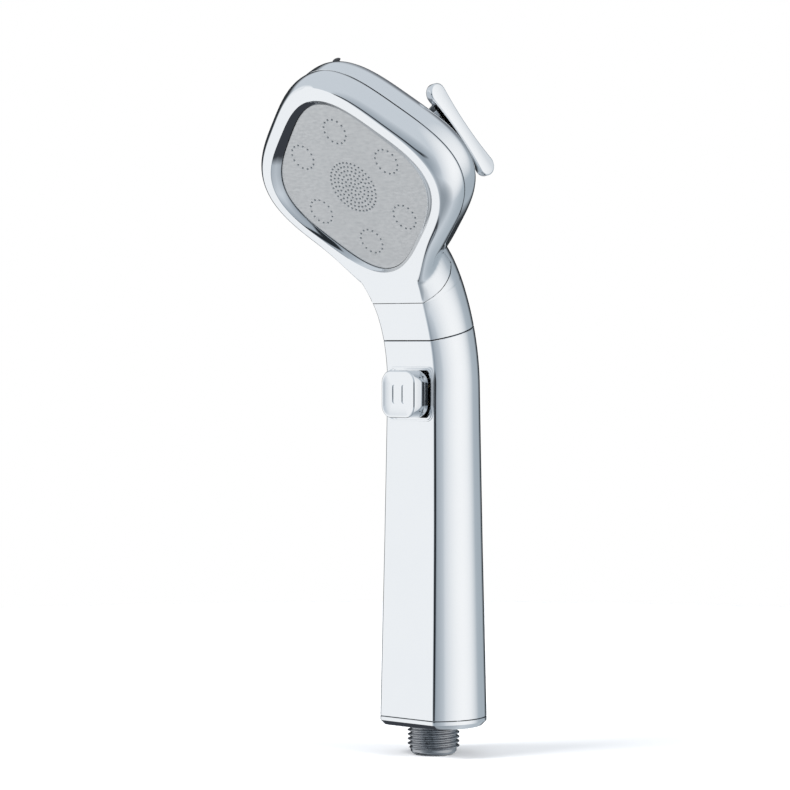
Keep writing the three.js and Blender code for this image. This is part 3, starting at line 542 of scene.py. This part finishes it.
def front_face():
    """The flat round the spray plate, and the sunk rim inside it."""
    width, along, _ = wall_row(0.0, FACE_EDGE[0][0])
    bottom = np.linspace(width[0], -width[0], 16)[1:-1]
    across = np.concatenate([-width, width[::-1][1:], bottom])
    height = np.concatenate([along, along[::-1][1:], np.full_like(bottom, along[0])])
    middle = HEAD_ALONG + FACE_DROP / 3
    reach = diamond_reach(RIM_HALF, RIM_SQUASH, across, height - middle)
    rim_w, rim_u = across * reach, (height - middle) * reach
    rows = [
        place(across + (rim_w - across) * f, height + (middle + rim_u - height) * f, 0)
        for f in np.linspace(0, 0.985, 7)
    ]
    for f, deep in RIM_ROWS:
        half = RIM_HALF + (RIM_FLOOR_HALF - RIM_HALF) * f
        squash = RIM_SQUASH + (1 - RIM_SQUASH) * f
        centre = middle + (FACE_DROP * 2 / 3) * f
        again = diamond_reach(half, squash, rim_w, rim_u)
        rows.append(place(rim_w * again, centre + rim_u * again, deep))
    return np.array(rows)


def front_shell():
    skin = chrome_skin("front_shell_skin", (side_wall(), False), (front_face(), True))
    return stand_for(skin, "chrome_plate", "front_shell")


def back_row(inset, deep):
    """A closed row of the domed back, at this depth except where the seam runs deeper."""
    angles = full_turn(BACK_COLUMNS)
    w, u = np.sin(angles), np.cos(angles)
    fall = ((HEAD_DEEP - deep) / (HEAD_DEEP - FLARE_DEEP)) ** 2
    low, high = np.zeros(BACK_COLUMNS), np.full(BACK_COLUMNS, SEARCH_LIMIT)
    for _ in range(HALVINGS):
        reach = (low + high) / 2
        lift = (table(SEAM, HEAD_ALONG + reach * u) - FLARE_DEEP) * fall
        here = deep + np.maximum(lift, 0)
        half = np.maximum(head_half(here) - inset, 0.01)
        inside = diamond_reach(half, squash_at(here), w * reach, u * reach) > 1
        low, high = np.where(inside, reach, low), np.where(inside, high, reach)
    return place(reach * w, HEAD_ALONG + reach * u, here)


def back_shell():
    rows = [back_row(inset, deep) for inset, deep in BACK_EDGE]
    rows += [back_row(0, deep) for deep in BACK_DEPTHS]
    angles = full_turn(BACK_COLUMNS)
    across, up = BACK_LAST_ROW * np.sin(angles), BACK_LAST_ROW * np.cos(angles)
    rows.append(place(across, HEAD_ALONG + up, HEAD_DEEP))
    skin = chrome_skin("back_shell_skin", (np.array(rows), True))
    return stand_for(skin, "chrome_plate", "back_shell")


def arc_points(along, start, inset=0.0, count=96):
    """The round part of the section, from one side's angle over the back to the other's."""
    radius, centre = section(along)
    angles = np.linspace(start, 2 * math.pi - start, count)
    r = radius - inset
    return r * np.sin(angles), centre - r * np.cos(angles)


def section_row(along, inset=0.0):
    """The whole section: flat front with slightly rounded edges, and the round back."""
    radius, centre = section(along)
    r, c = radius - inset, centre - inset
    across, deep = arc_points(along, math.acos((c - EDGE_DEEP) / r), inset)
    corner = math.sqrt(r**2 - c**2)
    t = np.linspace(0, 1, 7)[1:]
    edge = (1 - t) ** 2 * across[0] + 2 * t * (1 - t) * corner + t**2 * (corner - EDGE_WIDE)
    edge_deep = inset + (1 - t) ** 2 * EDGE_DEEP
    flat = np.linspace(corner - EDGE_WIDE, EDGE_WIDE - corner, 13)[1:-1]
    across = np.concatenate([across, -edge, -flat, edge[::-1]])
    deep = np.concatenate([deep, edge_deep, np.full_like(flat, inset), edge_deep[::-1]])
    return place(across, along, deep)


def neck():
    low, high = LOW_SEAM + HALF_GAP, TONGUE_END - HALF_GAP
    rows = [section_row(low + up, inset) for up, inset in NECK_END]
    rows += [section_row(s) for s in np.linspace(low + 1, high, 14)]
    upper = []
    for along in np.linspace(high, NECK_TOP, 48):
        radius, centre = section(along)
        seam = min(float(table(SEAM, along + HALF_GAP)) + HALF_GAP, SEAM_DEEPEST)
        start = math.acos(np.clip((centre - max(seam, 0.3)) / radius, -1, 1))
        across, deep = arc_points(along, start)
        upper.append(place(across, along, deep))
    skin = chrome_skin("neck_skin", (np.array(rows), True), (np.array(upper), False))
    return stand_for(skin, "chrome_plate", "back_shell")


def rounded_rectangle(wide, tall, corner, steps=10):
    x, z = wide / 2 - corner, tall / 2 - corner
    points = []
    for quarter, (cx, cz) in enumerate(((x, z), (-x, z), (-x, -z), (x, -z))):
        for t in np.linspace(0, math.pi / 2, steps):
            angle = t + quarter * math.pi / 2
            points.append((cx + corner * math.cos(angle), cz + corner * math.sin(angle)))
    return np.array(points)


def stacked(name, rings, material, body, sharp=35, close=True):
    """A solid from rings of points, closed at both ends by a face."""
    count = len(rings[0])
    faces = grid_faces(len(rings), count, True)
    if close:
        last = (len(rings) - 1) * count
        faces += [tuple(range(count)), tuple(range(last, last + count))[::-1]]
    return add_object(name, np.concatenate(rings), faces, material, body, sharp)


def ring_at(outline, y):
    return np.array([(x, y, BUTTON_Z + h) for x, h in outline])


def grip():
    low, high = CAP_TOP + HALF_GAP, LOW_SEAM - HALF_GAP
    rows = [section_row(low + up, inset) for up, inset in GRIP_END]
    rows += [section_row(s) for s in np.linspace(low + 4, BEND_START, 26)]
    rows += [section_row(s) for s in np.linspace(BEND_START + 1.5, high - 1.2, 12)]
    rows += [section_row(high - down, inset) for down, inset in GRIP_END[::-1]]
    skin = chrome_skin("grip_skin", (np.array(rows), True))
    outline = rounded_rectangle(*WINDOW_SIZE)
    rings = [ring_at(outline, y) for y in (WINDOW_FRONT, WINDOW_BACK)]
    cut(skin, stacked("grip_cutter", rings, CHROME, "housing"), SHELL_SHARP)
    return stand_for(skin, "chrome_plate", "handle_shell")


def bottom_cap():
    top = CAP_TOP - HALF_GAP
    rows = [section_row(top - down, inset) for down, inset in CAP_END]
    rows += [section_row(FOOT + up, inset) for up, inset in CAP_BEVEL]
    centre = np.array([0, 0, FOOT])
    away = rows[-1] - centre
    rows.append(centre + away / np.linalg.norm(away, axis=1)[:, None] * CAP_HOLE)
    skin = chrome_skin("bottom_cap_skin", (np.array(rows), True), wall=CAP_WALL)
    return stand_for(skin, "chrome_plate", "bottom_cap")


# ---- inlet ----
def inlet():
    root, bore, top = THREAD_MAJOR - THREAD_DEPTH, INLET_BORE, INLET_TOP
    angles = full_turn(120)
    lifts = np.arange(THREAD_LOW, THREAD_HIGH, THREAD_STEP)
    lift, turn = np.meshgrid(lifts, angles, indexing="ij")
    phase = (lift / THREAD_PITCH - turn / (2 * math.pi)) % 1
    crest = np.clip(CREST_HIGH - np.abs(phase - 0.5) * CREST_SLOPE, 0, 1)
    start = np.clip((lift - THREAD_IN[0]) / THREAD_IN[1], 0, 1)
    end = np.clip((THREAD_OUT[0] - lift) / THREAD_OUT[1], 0, 1)
    radius = root + THREAD_DEPTH * crest * start * end
    thread = np.stack([radius * np.cos(turn), radius * np.sin(turn), lift + THREAD_END], -1)

    def ring(r, up):
        height = np.full_like(angles, up + THREAD_END)
        return np.stack([r * np.cos(angles), r * np.sin(angles), height], -1)

    rim = ((bore, 0.35), (bore + 0.12, 0.1), (bore + 0.4, 0), (root - 0.95, 0))
    bevel = ((root - 0.68, 0.08), (root - 0.5, 0.3), (root - 0.12, 0.75), (root, 1.0))
    below = ((bore, top - 1), (bore, 3.5)) + rim + bevel
    above = ((root, THREAD_HIGH + 0.1), (root, top), (bore, top), below[0])
    rows = [ring(*spot) for spot in below] + list(thread) + [ring(*spot) for spot in above]
    points, faces = joined((np.array(rows), True))
    # the thread's chrome is painted darker, as shade in its grooves
    piece = add_object("inlet_thread", points, faces, DARK_SHADED_THREAD, "housing", sharp=40)
    return stand_for(piece, "chrome_plate", "inlet_nipple")


# ---- button ----
def button_ring(inset, y):
    wide, tall = BUTTON_WIDE - 2 * inset, BUTTON_TALL - 2 * inset
    corner = max(BUTTON_CORNER - inset, BUTTON_LEAST_CORNER)
    return ring_at(rounded_rectangle(wide, tall, corner), y)


def button():
    front = float(-section(BUTTON_Z)[1])
    face = front - BUTTON_PROUD
    rings = [button_ring(inset, face + deep) for inset, deep in BUTTON_FACE]
    rings += [button_ring(inset, front + deep) for inset, deep in BUTTON_SKIRT]
    rings.append(button_ring(BUTTON_SKIRT[-1][0], face + BUTTON_ROOF))
    cap = stacked("button_cap_skin", rings, CHROME, "stop_button", BUTTON_SHARP)
    for x in (-BAR_ACROSS, BAR_ACROSS):
        bar = rounded_rectangle(BAR_WIDE, BAR_TALL, BAR_CORNER) + (x, 0)
        rings = [ring_at(bar, face + deep) for deep in (-1, BAR_DEEP)]
        cut(cap, stacked("bar_cutter", rings, CHROME, "stop_button"), BUTTON_SHARP)
    return stand_for(cap, "chrome_plate", "button_cap")


def bezel_ring(size, growth, deep):
    """A ring on the grip's front, from a size that grows or shrinks on every side."""
    wide, tall, corner = size
    outline = rounded_rectangle(wide + 2 * growth, tall + 2 * growth, corner - abs(growth))
    return place(outline[:, 0], BUTTON_Z + outline[:, 1], deep)


def bezel():
    rings = [bezel_ring(BEZEL_OUTER, *spot) for spot in BEZEL_FRONT]
    rings += [bezel_ring(BEZEL_INNER, *spot) for spot in BEZEL_WINDOW]
    rings += [bezel_ring(BEZEL_OUTER, *BEZEL_BACK), rings[0]]
    piece = stacked("button_bezel", rings, CHROME, "housing", BUTTON_SHARP, close=False)
    return stand_for(piece, "chrome_plate", "button_frame")


# ---- spray plate ----
def circle_spots(centre, radius, count, phase=0.0):
    angles = [phase + 2 * math.pi * i / count for i in range(count)]
    return [(centre[0] + radius * math.cos(a), centre[1] + radius * math.sin(a)) for a in angles]


def jet_spots():
    """Six rings of holes round a dense middle."""
    spots = []
    for k in range(6):
        angle = math.pi / 2 - JET_TURN + k * math.pi / 3
        centre = (JET_CIRCLE * math.cos(angle), JET_CIRCLE * math.sin(angle))
        spots += circle_spots(centre, JET_RING_RADIUS, JET_RING_HOLES, 0.2 * k)
    for k in range(JET_ROWS):
        spots += circle_spots((0, 0), JET_ROW_STEP * k, max(6 * k, 1), 0.7 * k)
    return spots


def spray_plate():
    """A flat plate with its holes left out of the faces, then the countersunk wall of each hole."""
    angles = full_turn(220)
    w, u = np.cos(angles), np.sin(angles)
    reach = diamond_reach(PLATE_HALF, 1.0, w, u)
    points = [Vector(p) for p in zip(w * reach, u * reach)]
    loops = [list(range(len(points)))]
    for spot in jet_spots():
        start = len(points)
        points += [Vector(p) for p in circle_spots(spot, HOLE_MOUTH, HOLE_SIDES)]
        loops.append(list(range(start, start + HOLE_SIDES)))
    flat, _, triangles, _, _, loop_ids = delaunay_2d_cdt(points, [], loops, 1, 1e-6, True)
    faces = [tuple(t) for t, ids in zip(triangles, loop_ids) if ids and all(i == 0 for i in ids)]
    spots = [(p.x, p.y, PLATE_DEEP) for p in flat]
    for spot in jet_spots():
        faces += grid_faces(len(HOLE_ROWS), HOLE_SIDES, True, len(spots))
        for radius, deep in HOLE_ROWS:
            ring = circle_spots(spot, radius, HOLE_SIDES)
            spots += [(x, z, PLATE_DEEP + deep) for x, z in ring]
    spots = np.array(spots)
    front = place(spots[:, 0], HEAD_ALONG + FACE_DROP + spots[:, 1], spots[:, 2])
    plate = add_object("spray_plate_skin", front, faces, BRUSHED, "housing", PLATE_SHARP)
    return stand_for(plate, "brushed_plate", "spray_plate")


# ---- mode lever ----
def paddle():
    straight = PADDLE_LONG / 2 - PADDLE_END
    half_round = [
        (straight + PADDLE_END * math.cos(a), PADDLE_END * math.sin(a))
        for a in np.linspace(-math.pi / 2, math.pi / 2, 15)
    ]
    waist = [
        ((1 - 2 * t) * straight, PADDLE_END - (PADDLE_END - PADDLE_WAIST) * 4 * t * (1 - t))
        for t in np.linspace(0, 1, 17)[1:-1]
    ]
    outline = np.array(half_round + waist)
    outline = np.concatenate([outline, -outline])
    middle = Matrix.Translation((REACH, PADDLE_DEEP, 0)) @ Matrix.Rotation(PADDLE_TILT, 4, "X")
    rings = [
        in_frame(LEVER_FRAME @ middle, [(x, thick, z) for z, thick in outline])
        for x in (-PADDLE_THICK / 2, PADDLE_THICK / 2)
    ]
    bar = bevelled(stacked("lever_paddle", rings, CHROME, "mode_selector"), PADDLE_BEVEL)
    return stand_for(bar, "chrome_plate", "mode_lever")


def lever_arm():
    stop = REACH - PADDLE_THICK / 2 + ARM_LAP
    xs = np.linspace(ARM_START, stop, 24)
    t = xs / stop
    width = (1 - t) ** 2 * ARM_HALF + 2 * t * (1 - t) * ARM_MIDDLE
    width += t**2 * PADDLE_LONG * ARM_FLARE
    outline = list(zip(xs, width)) + list(zip(xs[::-1], -width[::-1]))
    rings = [
        in_frame(LEVER_FRAME, [(x, y, z) for x, z in outline])
        for y in (HUB_FRONT, HUB_FRONT + ARM_THICK)
    ]
    arm = bevelled(stacked("lever_arm", rings, CHROME, "mode_selector"), ARM_BEVEL)
    return stand_for(arm, "chrome_plate", "mode_lever")


def lever_hub():
    for name, profile, body, node in (
        ("lever_hub", HUB_PROFILE, "mode_selector", "mode_lever"),
        ("lever_cap_skin", LEVER_CAP_PROFILE, "mode_selector", "lever_cap"),
        ("lever_seat", SEAT_PROFILE, "housing", "lever_escutcheon"),
    ):
        piece = lathe(name, rounded(profile), CHROME, body, DEPTH_FRAME)
        stand_for(piece, "chrome_plate", node)


def stud():
    """The small black stud that stands up out of the head's top."""
    turn = HEAD_FRAME @ Matrix.Translation((0, STUD_DEEP, 0))
    piece = lathe("stud_skin", rounded(STUD_PROFILE), BLACK, "housing", turn, 32)
    return stand_for(piece, "black_plastic", "locating_stud")


# ---- floor, light and camera ----
def studio():
    low = CAD_BOX[0][2] - FLOOR_DROP
    points = [(x, y, low) for x, y in circle_spots((0, 0), FLOOR_RADIUS, FLOOR_SIDES)]
    mesh = bpy.data.meshes.new("floor")
    mesh.from_pydata(points, [], [tuple(range(FLOOR_SIDES))])
    floor = bpy.data.objects.new("floor", mesh)
    bpy.context.scene.collection.objects.link(floor)
    look, tree, shader = new_material("floor_paper", (0.94, 0.93, 0.93), 0.0, 0.9)
    tinted(tree, shader, noise(tree, 3, 2), (0.935, 0.925, 0.925), (0.955, 0.945, 0.945))
    mesh.materials.append(look)
    floor.visible_glossy = False


STUDIO_CARDS = (
    # azimuth and elevation of the middle, height against width, inner and outer half-angle, colour
    (-168, 28, 1.0, 10, 36, (0.12, 0.13, 0.15)),
    (180, -8, 1.0, 0, 52, (0.40, 0.46, 0.51)),
    (27, -14, 1.4, 8, 42, (0.31, 0.36, 0.41)),
    (110, 4, 1.8, 0, 47, (1.02, 1.03, 1.04)),
    (-58, -22, 1.5, 23, 37, (0.96, 0.98, 1.0)),
    (12, -1, 0.19, 24, 36, (0.02, 0.025, 0.03)),
    (70, -74, 1.0, 12, 40, (0.30, 0.34, 0.38)),
    (-110, -60, 1.0, 24, 29, (0.045, 0.05, 0.06)),
    (-128, 2, 0.6, 34, 48, (0.03, 0.035, 0.04)),
)
STUDIO_BASE = (0.63, 0.68, 0.73)
LIGHT_TARGET = (0, 0, 0.15)


def studio_direction(azimuth, elevation):
    """The unit vector towards an azimuth, counted from the front (-Y), and an elevation."""
    azimuth, elevation = math.radians(azimuth), math.radians(elevation)
    level = math.cos(elevation)
    return Vector((math.sin(azimuth) * level, -math.cos(azimuth) * level, math.sin(elevation)))


def vector_node(tree, operation, first, second=None, output="Vector"):
    node = tree.nodes.new("ShaderNodeVectorMath")
    node.operation = operation
    tree.links.new(first, node.inputs[0])
    if second is not None:
        node.inputs[1].default_value = second
    return node.outputs[output]


def surroundings():
    """A grey-blue room with soft bright and dark cards for the chrome, and plain white behind."""
    world = bpy.data.worlds.new("studio")
    world.use_nodes = True
    bpy.context.scene.world = world
    tree = world.node_tree
    direction = tree.nodes.new("ShaderNodeTexCoord").outputs["Generated"]
    colour = None
    for azimuth, elevation, tall, inner, outer, paint in STUDIO_CARDS:
        middle = studio_direction(azimuth, elevation)
        flat = Vector((middle.x, middle.y, middle.z / tall)).normalized()
        stretched = vector_node(tree, "MULTIPLY", direction, (1, 1, 1 / tall))
        unit = vector_node(tree, "NORMALIZE", stretched)
        near = vector_node(tree, "DOT_PRODUCT", unit, flat, "Value")
        edge = tree.nodes.new("ShaderNodeMapRange")
        edge.inputs["From Min"].default_value = math.cos(math.radians(outer))
        edge.inputs["From Max"].default_value = math.cos(math.radians(inner))
        tree.links.new(near, edge.inputs["Value"])
        card = tree.nodes.new("ShaderNodeMix")
        card.data_type = "RGBA"
        card.inputs["A"].default_value = (*STUDIO_BASE, 1)
        card.inputs["B"].default_value = (*paint, 1)
        tree.links.new(edge.outputs["Result"], card.inputs["Factor"])
        if colour is not None:
            tree.links.new(colour, card.inputs["A"])
        colour = card.outputs["Result"]
    background = tree.nodes["Background"]
    tree.links.new(colour, background.inputs["Color"])
    white = tree.nodes.new("ShaderNodeBackground")
    white.inputs["Color"].default_value = (1, 1, 1, 1)
    seen = tree.nodes.new("ShaderNodeLightPath")
    mix = tree.nodes.new("ShaderNodeMixShader")
    tree.links.new(seen.outputs["Is Camera Ray"], mix.inputs[0])
    tree.links.new(background.outputs[0], mix.inputs[1])
    tree.links.new(white.outputs[0], mix.inputs[2])
    tree.links.new(mix.outputs[0], tree.nodes["World Output"].inputs["Surface"])


def area_light(name, spot, size, power):
    data = bpy.data.lights.new(name, "AREA")
    data.shape = "DISK"
    data.size = size
    data.energy = power
    light = bpy.data.objects.new(name, data)
    light.location = spot
    aim = Vector(LIGHT_TARGET) - Vector(spot)
    light.rotation_euler = aim.to_track_quat("-Z", "Y").to_euler()
    light.visible_glossy = False
    bpy.context.scene.collection.objects.link(light)


def camera():
    """The photograph's view."""
    back = studio_direction(CAMERA_AZIMUTH, CAMERA_ELEVATION)
    right = studio_direction(CAMERA_AZIMUTH + 90, 0)
    up = back.cross(right)
    distance = FOCAL_PIXELS / PIXELS_PER_MM * MM
    data = bpy.data.cameras.new("camera")
    data.sensor_width = SENSOR_MM
    data.lens = FOCAL_PIXELS / PICTURE_PIXELS * SENSOR_MM
    data.clip_start = 0.01
    shot = bpy.data.objects.new("camera", data)
    matrix = Matrix((right, up, back)).transposed().to_4x4()
    matrix.translation = Vector((0, 0, CAMERA_HEIGHT)) - right * CAMERA_SHIFT + back * distance
    shot.matrix_world = matrix
    bpy.context.scene.collection.objects.link(shot)
    bpy.context.scene.camera = shot


camera()
front_shell()
back_shell()
neck()
grip()
bottom_cap()
inlet()
button()
bezel()
spray_plate()
paddle()
lever_arm()
lever_hub()
stud()
studio()
surroundings()
area_light("key", (-0.6, -1.2, 1.4), 1.0, 30)
area_light("fill", (1.4, 0.3, 0.9), 1.0, 18)
bpy.context.scene.view_settings.view_transform = "Standard"
bpy.context.scene.view_settings.look = "None"
